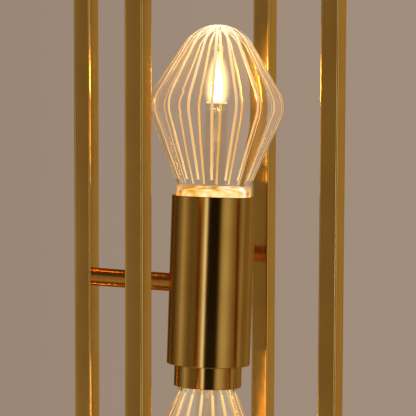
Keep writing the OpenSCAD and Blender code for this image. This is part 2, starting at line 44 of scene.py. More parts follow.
# Camera: it stands in front and to the right, a little above the upper holder, with a long
# lens. Place, lens and turn were fitted to the posts' edges, the arm and the holder's rims.
CAMERA_AROUND = math.radians(27.081)
CAMERA_PITCH = math.radians(5.627)
CAMERA_YAW = math.radians(-0.086)
CAMERA_ROLL = math.radians(0.179)
CAMERA_DISTANCE = 1422.33 * MM
CAMERA_HEIGHT = 1238.9 * MM
SENSOR_MM, LENS_MM = 36.0, 162.84
CLIP_NEAR, CLIP_FAR = 0.05, 60.0


def add_object(name, data, axes=None, place=None):
    """Adds an object to the scene, at the origin or with its three axes and its place given."""
    made = bpy.data.objects.new(name, data)
    bpy.context.scene.collection.objects.link(made)
    if axes:
        pose = np.eye(4)
        pose[:3] = np.stack([*axes, place], -1)
        made.matrix_world = Matrix(pose.tolist())
    return made


camera_data = bpy.data.cameras.new("camera")
camera_data.sensor_width, camera_data.lens = SENSOR_MM, LENS_MM
camera_data.clip_start, camera_data.clip_end = CLIP_NEAR, CLIP_FAR
heading = CAMERA_AROUND + CAMERA_YAW
forward = np.array([-math.sin(heading) * math.cos(CAMERA_PITCH),
                    math.cos(heading) * math.cos(CAMERA_PITCH), -math.sin(CAMERA_PITCH)])
level = np.array([math.cos(heading), math.sin(heading), 0.0])
upright = np.cross(level, forward)
across = math.cos(CAMERA_ROLL) * level + math.sin(CAMERA_ROLL) * upright
up = math.cos(CAMERA_ROLL) * upright - math.sin(CAMERA_ROLL) * level
stand = (CAMERA_DISTANCE * math.sin(CAMERA_AROUND), -CAMERA_DISTANCE * math.cos(CAMERA_AROUND),
         CAMERA_HEIGHT)
bpy.context.scene.camera = add_object("camera", camera_data, (across, up, -forward), stand)
bpy.context.scene.view_settings.view_transform = "Standard"


# Studio: a taupe wall all round, a little darker on the left, and a pale floor that fades
# into it. Metal sees a window, a dark doorway and soft boxes instead, as upright bands.
WALL, WALL_FAR = "#A38F7D", "#998676"
WALL_SPREAD = 0.12
OVERHEAD = "#4B3C30"
OVERHEAD_FROM, OVERHEAD_TO = 0.15, 0.5
AMBIENT, AMBIENT_STRENGTH = "#FFF6EA", 0.55
LAMP_LIGHT = "#FFF4E6"
FLOOR = "#CFC4B6"
FLOOR_RADIUS = 3.6
FLOOR_FADE, FLOOR_FADED = 1.3, 3.42
# The floor that metal mirrors is painted: a dark painted shade up to one distance from the lamp, a
# lighter tone past another
MIRRORED_FLOOR_SHADE, MIRRORED_FLOOR_LIT = "#453527", "#9E9989"
NEAR_TO, AWAY_FROM = 0.9, 1.6
# Bands by their angle in degrees to the right of the camera; the window's are over-bright
BANDS = [
    (-180, "#7F705E"), (-150, "#4D4336"), (-122, "#4D4336"), (-108, "#74685E"),
    (-97, "#9A8F89"), (-86, "#CBC9C8"), (-78, "#B3A79D"), (-68, "#897C70"),
    (-58, "#736758"), (-48, "#7D6E5C"), (-35, "#594D3F"), (-29, "#897965"),
    (-24, "#CBC8C0"), (-21, "#D3DCFF", 2.1), (-16.5, "#D3D9FF", 2.3), (-13, "#3F3027"),
    (-8, "#140D03"), (15, "#140D03"), (20, "#463B2C"), (27, "#B7B1A7"),
    (34, "#D6D5D5"), (43, "#D3D1CF"), (51, "#BCB3AC"), (60, "#9D8F86"),
    (70, "#7F6C5E"), (82, "#897C6C"), (91, "#B5AAA0"), (101, "#8C7C6C"),
    (118, "#8F8170"), (128, "#A29582"), (150, "#897C68"), (180, "#7F705E"),
]


def to_linear(code):
    """sRGB hex code to linear RGBA: c/12.92 up to 0.04045, else ((c + 0.055)/1.055)^2.4."""
    srgb = np.array([int(code[i:i + 2], 16) for i in (1, 3, 5)]) / 255.0
    rgb = np.where(srgb <= 0.04045, srgb / 12.92, ((srgb + 0.055) / 1.055) ** 2.4)
    return (*rgb.tolist(), 1.0)


def add_node(tree, kind, inputs=None, **properties):
    """Adds a node with its properties. An input takes a value, a hex colour, a socket, or a
    node for its first output. A Mix of colours has them at 6 and 7, and its result at 2."""
    made = tree.nodes.new("ShaderNode" + kind)
    for key, value in properties.items():
        setattr(made, key, value)
    for key, value in (inputs or {}).items():
        value, socket = getattr(value, "outputs", [value])[0], made.inputs[key]
        if isinstance(value, bpy.types.NodeSocket):
            tree.links.new(value, socket)
        elif isinstance(value, str):
            socket.default_value = to_linear(value)[:len(socket.default_value)]
        else:
            socket.default_value = value
    return made


def clear_nodes(owner):
    """Empties the nodes of a world or material, and returns it with a function that adds to
    them."""
    owner.use_nodes = True
    owner.node_tree.nodes.clear()
    return owner, partial(add_node, owner.node_tree)


def fill_ramp(node, stops):
    """Gives a colour ramp its stops: a place from 0 to 1, a hex colour and, where it shines
    brighter than white, its strength."""
    elements = node.color_ramp.elements
    elements.remove(elements[1])
    for index, (place, code, *more) in enumerate(stops):
        stop = elements[0] if index == 0 else elements.new(place)
        strength = more[0] if more else 1.0
        stop.position = place
        stop.color = (*(strength * v for v in to_linear(code)[:3]), 1.0)


bpy.context.scene.world, add_sky = clear_nodes(bpy.data.worlds.new("studio"))
ray = add_sky("LightPath")
way = add_sky("TexCoord").outputs["Generated"]
xyz = add_sky("SeparateXYZ", {0: way})
azimuth = add_sky("Math", {0: xyz.outputs["Y"], 1: xyz.outputs["X"]}, operation="ARCTAN2")
place = add_sky("Math", {0: azimuth, 1: 0.5 / math.pi, 2: (270.0 - math.degrees(heading)) / 360.0},
                operation="MULTIPLY_ADD")
wrapped = add_sky("Math", {0: place}, operation="FRACT")
bands = add_sky("ValToRGB", {0: wrapped})
fill_ramp(bands, [((angle + 180.0) / 360.0, *look) for angle, *look in BANDS])
lifted = add_sky("MapRange", {0: xyz.outputs["Z"], 1: OVERHEAD_FROM, 2: OVERHEAD_TO},
                 interpolation_type="SMOOTHSTEP")
room = add_sky("Mix", {0: lifted, 6: bands, 7: OVERHEAD}, data_type="RGBA")
across = add_sky("VectorMath", {0: way, 1: level.tolist()}, operation="DOT_PRODUCT")
lighter = add_sky("MapRange", {0: across.outputs["Value"], 1: -WALL_SPREAD, 2: WALL_SPREAD})
wall = add_sky("Mix", {0: lighter, 6: WALL_FAR, 7: WALL}, data_type="RGBA")
backdrop = add_sky("Background", {0: wall.outputs[2]})
mirrored = add_sky("Background", {0: room.outputs[2]})
ambient = add_sky("Background", {"Color": AMBIENT, "Strength": AMBIENT_STRENGTH})
direct = add_sky("Math", {0: ray.outputs["Is Camera Ray"], 1: ray.outputs["Is Transmission Ray"]},
                 operation="MAXIMUM")
indirect = add_sky("MixShader", {0: ray.outputs["Is Glossy Ray"], 1: ambient, 2: mirrored})
every = add_sky("MixShader", {0: direct, 1: indirect, 2: backdrop})
add_sky("OutputWorld", {0: every})


def soft_box(name, place, aim, side, watts):
    """Square lamp of a side in metres, set at a place and turned to shine at a point."""
    data = bpy.data.lights.new(name, "AREA")
    data.size, data.energy, data.color = side, watts, to_linear(LAMP_LIGHT)[:3]
    back = np.array(place) - np.array(aim)
    back /= np.linalg.norm(back)
    sideways = np.cross((0.0, 0.0, 1.0), back)
    sideways /= np.linalg.norm(sideways)
    lamp = add_object(name, data, (sideways, np.cross(back, sideways), back), place)
    lamp.visible_glossy = lamp.visible_transmission = lamp.visible_camera = False


soft_box("key_lamp", (-1.6, -2.2, 2.8), (0.0, 0.0, 0.6), 1.4, 60.0)
soft_box("fill_lamp", (2.4, -0.6, 2.2), (0.0, 0.0, 0.6), 1.6, 30.0)


def build_mesh(name, grid, uv, closed=False, poles=(False, False), smooth=40.0):
    """Mesh of a grid of rings by columns, whose columns run round a closed loop.
    closed joins the last ring to the first. A pole closes an end ring with one point.
    Faces are the quads ring i, column j to ring i+1, column j+1, and a fan at a pole.
    Edges that turn by more than smooth degrees stay sharp."""
    m, n = grid.shape[:2]
    i, j = np.meshgrid(np.arange(m if closed else m - 1), np.arange(n), indexing="ij")
    after, over = (j + 1) % n, (i + 1) % m
    quads = np.stack([i * n + j, i * n + after, over * n + after, over * n + j], -1)
    quad_uv = np.stack([uv[i, j], uv[i, j + 1], uv[i + 1, j + 1], uv[i + 1, j]], -2)
    points, faces = [grid.reshape(-1, 3)], quads.reshape(-1, 4).tolist()
    corner_uv, column, pole = [quad_uv.reshape(-1, 2)], np.arange(n), m * n
    for has_pole, ring, way in zip(poles, (0, m - 1), (-1, 1)):
        if has_pole:
            rim = [ring * n + column, ring * n + (column + 1) % n][::way]
            ends = [uv[ring, :-1], uv[ring, 1:]][::way]
            faces += np.stack([*rim, np.full(n, pole)], -1).tolist()
            corner_uv.append(np.stack([*ends, (ends[0] + ends[1]) / 2], 1).reshape(-1, 2))
            points.append(grid[ring].mean(0)[None])
            pole += 1
    mesh = bpy.data.meshes.new(name)
    mesh.from_pydata(np.concatenate(points).tolist(), [], faces)
    layer = mesh.uv_layers.new(name="UVMap")
    layer.data.foreach_set("uv", np.concatenate(corner_uv).astype(np.float32).ravel())
    mesh.shade_smooth()
    mesh.set_sharp_from_angle(angle=math.radians(smooth))
    mesh.update()
    return mesh


def floor_material():
    """Matt pale floor paint near the lamp, which turns into the wall's tone far from it.
    Metal mirrors a darker floor, as in the photographed room: glossy rays see a painted reflection
    of the floor, with painted shade near the lamp."""
    made, add = clear_nodes(bpy.data.materials.new("matt_floor_paint"))
    spot = add("TexCoord")
    away = add("VectorMath", {0: spot.outputs["Object"]}, operation="LENGTH")
    fade = add("MapRange", {0: away.outputs["Value"], 1: FLOOR_FADE, 2: FLOOR_FADED},
               interpolation_type="SMOOTHSTEP")
    paint = add("BsdfDiffuse", {"Color": FLOOR})
    far = add("Emission", {"Color": WALL})
    both = add("MixShader", {0: fade, 1: paint, 2: far})
    far_off = add("MapRange", {0: away.outputs["Value"], 1: NEAR_TO, 2: AWAY_FROM},
                  interpolation_type="SMOOTHSTEP")
    tone = add("Mix", {0: far_off, 6: MIRRORED_FLOOR_SHADE, 7: MIRRORED_FLOOR_LIT}, data_type="RGBA")
    # Painted reflection of the floor, seen only by metal: painted shade near the lamp, lighter
    # further off
    painted_mirror_floor = add("Emission", {"Color": tone.outputs[2]})
    # A ray refracted by a bulb counts as glossy too, but has to see the real floor
    ray = add("LightPath")
    bounced = add("Math", {0: ray.outputs["Is Glossy Ray"], 1: ray.outputs["Is Transmission Ray"]},
                  operation="SUBTRACT", use_clamp=True)
    seen = add("MixShader", {0: bounced, 1: both, 2: painted_mirror_floor})
    add("OutputMaterial", {0: seen})
    return made


turn = np.linspace(0.0, 2.0 * math.pi, 97)
rings = np.array([FLOOR_RADIUS, 1.0, 0.3])[:, None]
floor_uv = np.stack([rings * np.cos(turn), rings * np.sin(turn)], -1)
floor_grid = np.concatenate([floor_uv[:, :-1], np.zeros((3, 96, 1))], -1)
floor_mesh = build_mesh("floor", floor_grid, floor_uv, poles=(False, True))
floor_mesh.materials.append(floor_material())
add_object("floor", floor_mesh)


# Posts and top bars: drawn square brass tube, mitred and brazed at the upper corners.
# Sanded lengthwise to a satin, then clear lacquered; the rounded corners shine brighter.
TUBE = 15.0 * MM
TUBE_WALL = 1.5 * MM
TUBE_ROUND = 1.7 * MM
TUBE_CROWN = 0.14 * MM
FRAME_WIDTH = 224.0 * MM
LAMP_TOP = 1450.0 * MM
PLATE_TOP = 24.0 * MM
POST_AT = (FRAME_WIDTH - TUBE) / 2
MITRE_GAP = 0.04 * MM
POST_BRASS = ("#F3C467", "#E8B75B")
EDGE_TINT = "#FFDDAA"
LACQUER = {"Coat Weight": 0.1, "Coat Roughness": 0.04, "Coat IOR": 1.5}
# Noise mostly stays between these; polish clouds are about 45 mm wide
NOISE_LOW, NOISE_HIGH = 0.3, 0.7
CLOUDS_PER_METRE, CLOUD_LOW, CLOUD_HIGH = 22.0, 0.35, 0.75


def brushed_brass(name, tones, roughness, grain, tilt, anisotropy):
    """Lacquered brass with fine sanding lines. grain is the lines' spacing across the UV
    map's first and second axis in metres, or 0 where they run on without end. The lines
    shift the roughness by up to 12% and lean the normal n across themselves, to
    n + tilt (line - 0.5) c, so that reflections spread; clouds of old polish shift the tone."""
    made, add = clear_nodes(bpy.data.materials.new(name))
    runs_round = grain[0] == 0
    chart = add("UVMap", uv_map="UVMap")
    scale = [1.0 / g if g else 0.0 for g in grain]
    stretched = add("Mapping", {"Scale": (*scale, 1.0), "Vector": chart})
    lines = add("TexNoise", {"Scale": 1.0, "Detail": 3.0, "Roughness": 0.65, "Vector": stretched})
    where = add("TexCoord")
    cloud = add("TexNoise", {"Scale": CLOUDS_PER_METRE, "Detail": 3.0,
                             "Vector": where.outputs["Object"]})
    worn = add("MapRange", {0: cloud, 1: CLOUD_LOW, 2: CLOUD_HIGH})
    tone = add("Mix", {0: worn, 6: tones[0], 7: tones[1]}, data_type="RGBA")
    rough = add("MapRange", {0: lines, 1: NOISE_LOW, 2: NOISE_HIGH, 3: roughness * 0.88,
                             4: roughness * 1.12})
    tangent = add("Tangent", direction_type="UV_MAP", uv_map="UVMap")
    plain = add("NewGeometry").outputs["Normal"]
    across = tangent
    if runs_round:
        across = add("VectorMath", {0: plain, 1: tangent}, operation="CROSS_PRODUCT")
    lean = add("Math", {0: lines, 1: tilt, 2: -0.5 * tilt}, operation="MULTIPLY_ADD")
    shift = add("VectorMath", {0: across, 3: lean}, operation="SCALE")
    leaning = add("VectorMath", {0: plain, 1: shift}, operation="ADD")
    normal = add("VectorMath", {0: leaning}, operation="NORMALIZE")
    metal = add("BsdfPrincipled", {"Metallic": 1.0, "Specular Tint": EDGE_TINT, **LACQUER,
                                   "Anisotropic": anisotropy,
                                   "Anisotropic Rotation": 0.25 if runs_round else 0.0,
                                   "Base Color": tone.outputs[2], "Roughness": rough,
                                   "Normal": normal, "Tangent": tangent})
    add("OutputMaterial", {0: metal})
    return made


# Drawn tube sanded along its length: each reflection spreads across it, not along it
satin_brass = brushed_brass("satin_lacquered_brass", POST_BRASS, 0.12, (0.3 * MM, 120 * MM),
                            0.4, 1.0)


def place_piece(mesh, body, slot, finish, *replaced, place=None):
    """Makes the mesh a piece that rides a body, takes the finish and stands for nodes, which it
    hides. The slot is not used.
    A place R, t moves every point p of the mesh to R p + t."""
    if place is not None:
        mesh.transform(Matrix(place.tolist()))
    piece = add_object(mesh.name, mesh)
    mesh.materials.clear()
    mesh.materials.append(finish)
    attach(piece, body)
    if replaced:
        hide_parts(*replaced)


def rounded_square(side, radius, crown, steps=6):
    """Outline of a square with rounded corners and slightly crowned sides, counter-clockwise:
    corner centres plus radius (cos, sin), and side/2 - crown (y/flat)^2 between them."""
    flat = side / 2 - radius
    lean = math.atan(2 * crown / flat)
    angle = np.linspace(lean, math.pi / 2 - lean, steps + 1)
    arc = np.stack([np.cos(angle), np.sin(angle)], -1) * radius + flat - crown
    face = np.linspace(-0.95, 0.95, 7)[:, None] * flat
    face = np.concatenate([side / 2 - crown * (face / flat) ** 2, face], 1)
    corner = np.concatenate([face, arc])
    turns = np.arange(4) * math.pi / 2
    spin = np.stack([np.cos(turns), -np.sin(turns), np.sin(turns), np.cos(turns)], -1)
    return np.einsum("kab,pb->kpa", spin.reshape(4, 2, 2), corner).reshape(-1, 2)


def square_tube(name, start, end, start_cut, end_cut, side_way, *replaced):
    """Piece of hollow square tube from start to end. Each point of the outline runs along the
    tube to the plane through an end point whose normal is the cut: s = -(offset.n)/(run.n)."""
    start, end, side_way = (np.array(v, float) for v in (start, end, side_way))
    reach = np.linalg.norm(end - start)
    run = (end - start) / reach
    other = np.cross(run, side_way)
    outer = rounded_square(TUBE, TUBE_ROUND, TUBE_CROWN)
    inner = rounded_square(TUBE - 2 * TUBE_WALL, TUBE_ROUND / 3, 0.0)
    rings = []
    for outline, point, cut, inset in (
        (outer, start, start_cut, MITRE_GAP), (outer, end, end_cut, -MITRE_GAP),
        (inner, end, end_cut, -MITRE_GAP), (inner, start, start_cut, MITRE_GAP),
    ):
        offset = outline[:, :1] * side_way + outline[:, 1:] * other
        along = -(offset @ np.array(cut, float)) / (run @ np.array(cut, float))
        rings.append(point + offset + (along + inset)[:, None] * run)
    step = np.linalg.norm(np.roll(outer, -1, 0) - outer, axis=1)
    u = np.concatenate([[0.0], np.cumsum(step)])
    v = np.array([0.0, reach, reach + TUBE_WALL, 2 * reach, 2 * reach + TUBE_WALL])
    uv = np.stack(np.broadcast_arrays(u[None], v[:, None]), -1)
    mesh = build_mesh(name, np.stack(rings), uv, closed=True)
    place_piece(mesh, "frame", "satin_brass", satin_brass, *replaced)


UP = np.array([0.0, 0.0, 1.0])
top = UP * (LAMP_TOP - TUBE / 2)
for side, way in (("left", (-1, 0, 0)), ("right", (1, 0, 0)), ("front", (0, -1, 0)),
                  ("back", (0, 1, 0))):
    way = np.array(way, float)
    square_tube("tube_post_" + side, way * POST_AT + UP * PLATE_TOP, way * POST_AT + top, UP,
                UP - way, way, "post_" + side)
way = np.array([1.0, 0.0, 0.0])
square_tube("tube_top_long", top - way * POST_AT, top + way * POST_AT, UP + way, UP - way, UP,
            "top_bar_long")
# Both short bars are one CAD node
for side, way, *replaced in (("front", -1.0, "top_bars_short"), ("back", 1.0)):
    way = np.array([0.0, way, 0.0])
    square_tube("tube_top_" + side, way * TUBE / 2 + top, way * POST_AT + top, way, UP - way, UP,
                *replaced)


# Arms: two turned brass tubes, each screwed into the left post and run into its holder.
# Fine rings left by the lathe draw the bulbs above and below out into thin orange lines.
HOLDERS = ("low", "high")
ARM_RADIUS = 7.0 * MM
ARM_BORE = 3.25 * MM
HOLDER_OFF = 5.0 * MM
ARM_Z = {"low": 425.0 * MM, "high": 1040.0 * MM}
SHOULDER_X = 20.8 * MM
SPIGOT_X = 9.2 * MM
SPIGOT_R = 5.0 * MM
FLANGE_R = 11.5 * MM
FLANGE_T = 2.5 * MM
POST_ENGAGE = 5.5 * MM
STOP_RING = 8.85 * MM
STOP_R = 1.25 * MM
STOP_FROM, STOP_TO = 17.5 * MM, 22.0 * MM
BRASS = ("#CFA14E", "#C09242")
ARM_BRASS = ("#F0A848", "#E69C3E")

# Turned brass: its rings run round, so each reflection is drawn out along the piece
turned_brass = brushed_brass("turned_lacquered_brass", BRASS, 0.17, (0, 0.4 * MM), 0.1, 0.6)
fine_turned_brass = brushed_brass("fine_turned_lacquered_brass", ARM_BRASS, 0.26,
                                  (0, 0.1 * MM), 0.5, 1.0)


def ease(corners, radii, steps=4, further=1.6):
    """Rounds a closed outline's corners by curves C + (1-t)^2 (A-C) + t^2 (B-C), where A and
    B lie a radius before and after corner C, with a point further out on each side. Corners
    are in metres, radii in millimetres."""
    corners, radii = np.array(corners, float), np.array(radii)[:, None] * MM
    before, after = (np.roll(corners, k, 0) - corners for k in (1, -1))
    before /= np.linalg.norm(before, axis=1, keepdims=True)
    after /= np.linalg.norm(after, axis=1, keepdims=True)
    t = np.linspace(0.0, 1.0, steps + 1)[None, :, None]
    a, b, c = (before * radii)[:, None], (after * radii)[:, None], corners[:, None]
    arc = c + (1 - t) ** 2 * a + t ** 2 * b
    return np.concatenate([c + further * a, arc, c + further * b], 1).reshape(-1, 2)


def revolve(name, outline, columns=96, closed=True):
    """Turns an outline of (radius, height) points round the Z axis:
    x = r cos a, y = r sin a, z = h. The UV map is the way round and the way along, in metres.
    The ends of an outline that isn't closed are filled to the axis."""
    outline = np.array(outline, float)
    a = np.linspace(0.0, 2.0 * math.pi, columns + 1)
    r, h = outline[:, :1], outline[:, 1:]
    grid = np.stack([r * np.cos(a[:-1]), r * np.sin(a[:-1]), h + 0 * a[:-1]], -1)
    step = np.linalg.norm(np.diff(outline, axis=0, append=outline[:1]), axis=1)
    v = np.concatenate([[0.0], np.cumsum(step)])[:, None]
    uv = np.stack(np.broadcast_arrays(a[None] * outline[:, 0].max(), v), -1)
    return build_mesh(name, grid, uv, closed, (not closed, not closed))


def along_arm(holder, aside=0.0):
    """Frame whose Z runs along an arm, from the holder's axis to the left post, and whose
    origin is moved aside, up from the arm's axis."""
    return np.array([[0, 0, -1.0, HOLDER_OFF], [0, 1.0, 0, 0],
                     [1.0, 0, 0, ARM_Z[holder] + aside], [0, 0, 0, 1.0]])


for holder in HOLDERS:
    face = POST_AT + HOLDER_OFF - TUBE / 2
    outline = ease([
        (SPIGOT_R, SPIGOT_X), (SPIGOT_R, SHOULDER_X), (FLANGE_R, SHOULDER_X),
        (FLANGE_R, SHOULDER_X + FLANGE_T), (ARM_RADIUS, SHOULDER_X + FLANGE_T),
        (ARM_RADIUS, face), (SPIGOT_R, face), (SPIGOT_R, face + POST_ENGAGE),
        (ARM_BORE, face + POST_ENGAGE), (ARM_BORE, SPIGOT_X),
    ], [0.5, 0.1, 0.3, 0.3, 0.1, 0.25, 0.1, 0.5, 0.1, 0.1])
    place_piece(revolve("arm_tube_" + holder, outline, 64), "frame", "turned_brass",
                fine_turned_brass, "arm_" + holder, place=along_arm(holder))
    pin = [(STOP_R * 0.7, STOP_FROM), (STOP_R, STOP_FROM + 0.3 * MM), (STOP_R, STOP_TO)]
    place_piece(revolve("stop_pin_" + holder, pin, 32, False), "frame", "turned_brass",
                turned_brass, place=along_arm(holder, STOP_RING))


# Sleeves and collars: turned from brass tube, sanded on the lathe and clear lacquered.
# The rims are eased and pick up a thin bright line; fine rings run round the wall.
SLEEVE_R = 31.75 * MM
SLEEVE_WALL = 1.5 * MM
SLEEVE_UP, SLEEVE_DOWN = 68.0 * MM, 60.0 * MM
COLLAR_R = 25.75 * MM
COLLAR_WALL = 2.0 * MM
COLLAR_END = 77.0 * MM
RIM = 2.0 * MM
LOOSE = 0.25 * MM
TILT = {"low": 0.0, "high": math.radians(-3.7)}


def at_end(holder, end):
    """Frame of one end of a holder: its Z points out of that end, from the arm's axis.
    The lower end is the upper one turned half round X, and the holder's tilt is about X."""
    angle = TILT[holder] + (0.0 if end == "up" else math.pi)
    c, s = math.cos(angle), math.sin(angle)
    return np.array([[1.0, 0, 0, HOLDER_OFF], [0, c, -s, 0], [0, s, c, ARM_Z[holder]],
                     [0, 0, 0, 1.0]])


inside, hole, bore = SLEEVE_R - SLEEVE_WALL, COLLAR_R + LOOSE, COLLAR_R - COLLAR_WALL
wall = ease([(hole, -SLEEVE_DOWN), (SLEEVE_R, -SLEEVE_DOWN), (SLEEVE_R, SLEEVE_UP),
             (inside, SLEEVE_UP), (inside, RIM - SLEEVE_DOWN), (hole, RIM - SLEEVE_DOWN)],
            [0.2, 0.6, 0.45, 0.45, 0.3, 0.2])
# The collar's heights are measured downwards, in the lower end's frame
top, flange = SLEEVE_DOWN - 2 * RIM, inside - LOOSE
ring = ease([(bore, top), (flange, top), (flange, top + RIM), (COLLAR_R, top + RIM),
             (COLLAR_R, COLLAR_END), (bore, COLLAR_END)], [0.2, 0.2, 0.2, 0.15, 0.5, 0.5])
for holder in HOLDERS:
    body = "holder_" + holder
    place_piece(revolve("sleeve_wall_" + holder, wall, 160), body, "turned_brass",
                turned_brass, "sleeve_" + holder, place=at_end(holder, "up"))
    place_piece(revolve("collar_ring_" + holder, ring, 144), body, "turned_brass",
                turned_brass, "collar_" + holder, place=at_end(holder, "down"))


# Base: a thick brass disc, faced on the lathe, on four rubber pads that keep it off the
# floor. The facing leaves fine rings, and its upper edge is rolled over by 3 mm.
BASE_R = 150.0 * MM
BASE_FOOT = 4.0 * MM
RECESS_R = 75.0 * MM
RECESS_TOP = 18.0 * MM
LEDGE_R = 85.0 * MM
COVER_T = 1.5 * MM
CENTRE_R = 0.4 * MM
BASE_BRASS = ("#FFE0A0", "#F8D48C")

# Faced brass: coarser rings than on the tubes, and a softer sheen
faced_brass = brushed_brass("faced_lacquered_brass", BASE_BRASS, 0.3, (0, 0.9 * MM), 0.1, 0.8)
disc = ease([(LEDGE_R, BASE_FOOT), (BASE_R, BASE_FOOT), (BASE_R, PLATE_TOP),
             (CENTRE_R, PLATE_TOP), (CENTRE_R, RECESS_TOP), (RECESS_R, RECESS_TOP),
             (RECESS_R, BASE_FOOT + COVER_T), (LEDGE_R, BASE_FOOT + COVER_T)],
            [0.3, 0.8, 3.0, 0.1, 0.1, 0.5, 0.3, 0.3], 6)
place_piece(revolve("base_disc", disc, 192), "frame", "base_brass", faced_brass, "base_plate")


# Bulbs: a clear acrylic envelope with engraved lines that catch the light of the board.
# The wall is turned and flame polished; the lines are milled into the outer face.
GLASS_WALL = 3.0 * MM
GIRDLE_R = 54.0 * MM
GIRDLE_ROUND = 20.0 * MM
NECK_ANGLE = math.radians(23.0)
TIP_ANGLE = math.radians(31.4)
CROWN_H = 60.0 * MM
NECK_R = {"up": 28.2 * MM, "down": 20.5 * MM}
SEAT = {"up": 60.0 * MM, "down": 62.0 * MM}
CONE_T = 77.0 * MM
GIRDLE_T = {end: CONE_T + (GIRDLE_R - NECK_R[end]) / math.tan(NECK_ANGLE) for end in SEAT}
BULBS = [(f"{holder}_{end}", end, at_end(holder, end)) for holder in HOLDERS for end in SEAT]
LINE_COUNT = 18
LINE_TURN = math.radians(13.0)
LINE_WIDTH = 2.4 * MM
LINE_DEPTH = 0.6 * MM
LINE_START = 5.0 * MM
# A line starts at this share of its width, and ends where the lines leave a thin rib
LINE_NARROW, LINE_TAPER, LINES_MEET = 0.85, 16.0 * MM, 0.96
RING_STEP, LINE_COLUMNS, GAP_COLUMNS = 1.6 * MM, 9, 4


def bulb_outline(end, set_in, steps=24):
    """Envelope's outline from its seat to its tip, set in from the outer face: a neck, a
    cone, the girdle's arc, a cone and the dome's arc, each arc touching its neighbours."""
    a, b = NECK_ANGLE, TIP_ANGLE
    shift_a, shift_b = set_in / math.cos(a), set_in / math.cos(b)
    edge_t = GIRDLE_T[end] + (shift_a - shift_b) / (math.tan(a) + math.tan(b))
    edge_r = GIRDLE_R - shift_a + math.tan(a) * (edge_t - GIRDLE_T[end])
    neck_r = NECK_R[end] - set_in
    neck_t = edge_t - (edge_r - neck_r) / math.tan(a)
    half, lean = (a + b) / 2, (b - a) / 2
    round_r = GIRDLE_ROUND - set_in
    centre = (edge_r - round_r / math.cos(half) * math.cos(lean),
              edge_t - round_r / math.cos(half) * math.sin(lean))
    dome_r = (GIRDLE_R * math.cos(b) - CROWN_H * math.sin(b)) / (1 - math.sin(b))
    dome_t = GIRDLE_T[end] + CROWN_H - dome_r
    bend = np.linspace(-a, b, steps + 1)
    crown = np.linspace(b, math.pi / 2 - 0.02, 2 * steps + 1)
    return np.concatenate([
        [[neck_r, SEAT[end]], [neck_r, neck_t]],
        np.stack([centre[0] + round_r * np.cos(bend), centre[1] + round_r * np.sin(bend)], -1),
        np.stack([(dome_r - set_in) * np.cos(crown),
                  dome_t + (dome_r - set_in) * np.sin(crown)], -1),
    ])


# What the wall scatters: by the fourth power of the distance from a point in the flame, in
# the neck over the diodes, and at the seat's edge, which the board lights
HAZE_UP, HAZE_AT = 14.0 * MM, 40.0 * MM
NECK_LIT, NECK_LIT_TO, NECK_FADE = 1.6, CONE_T + 1.5 * MM, 5.0 * MM
SEAT_GLOW, SEAT_LIT, SEAT_FADE = 0.5, 6.0 * MM, 3.0 * MM
TIP_HAZE = 0.7


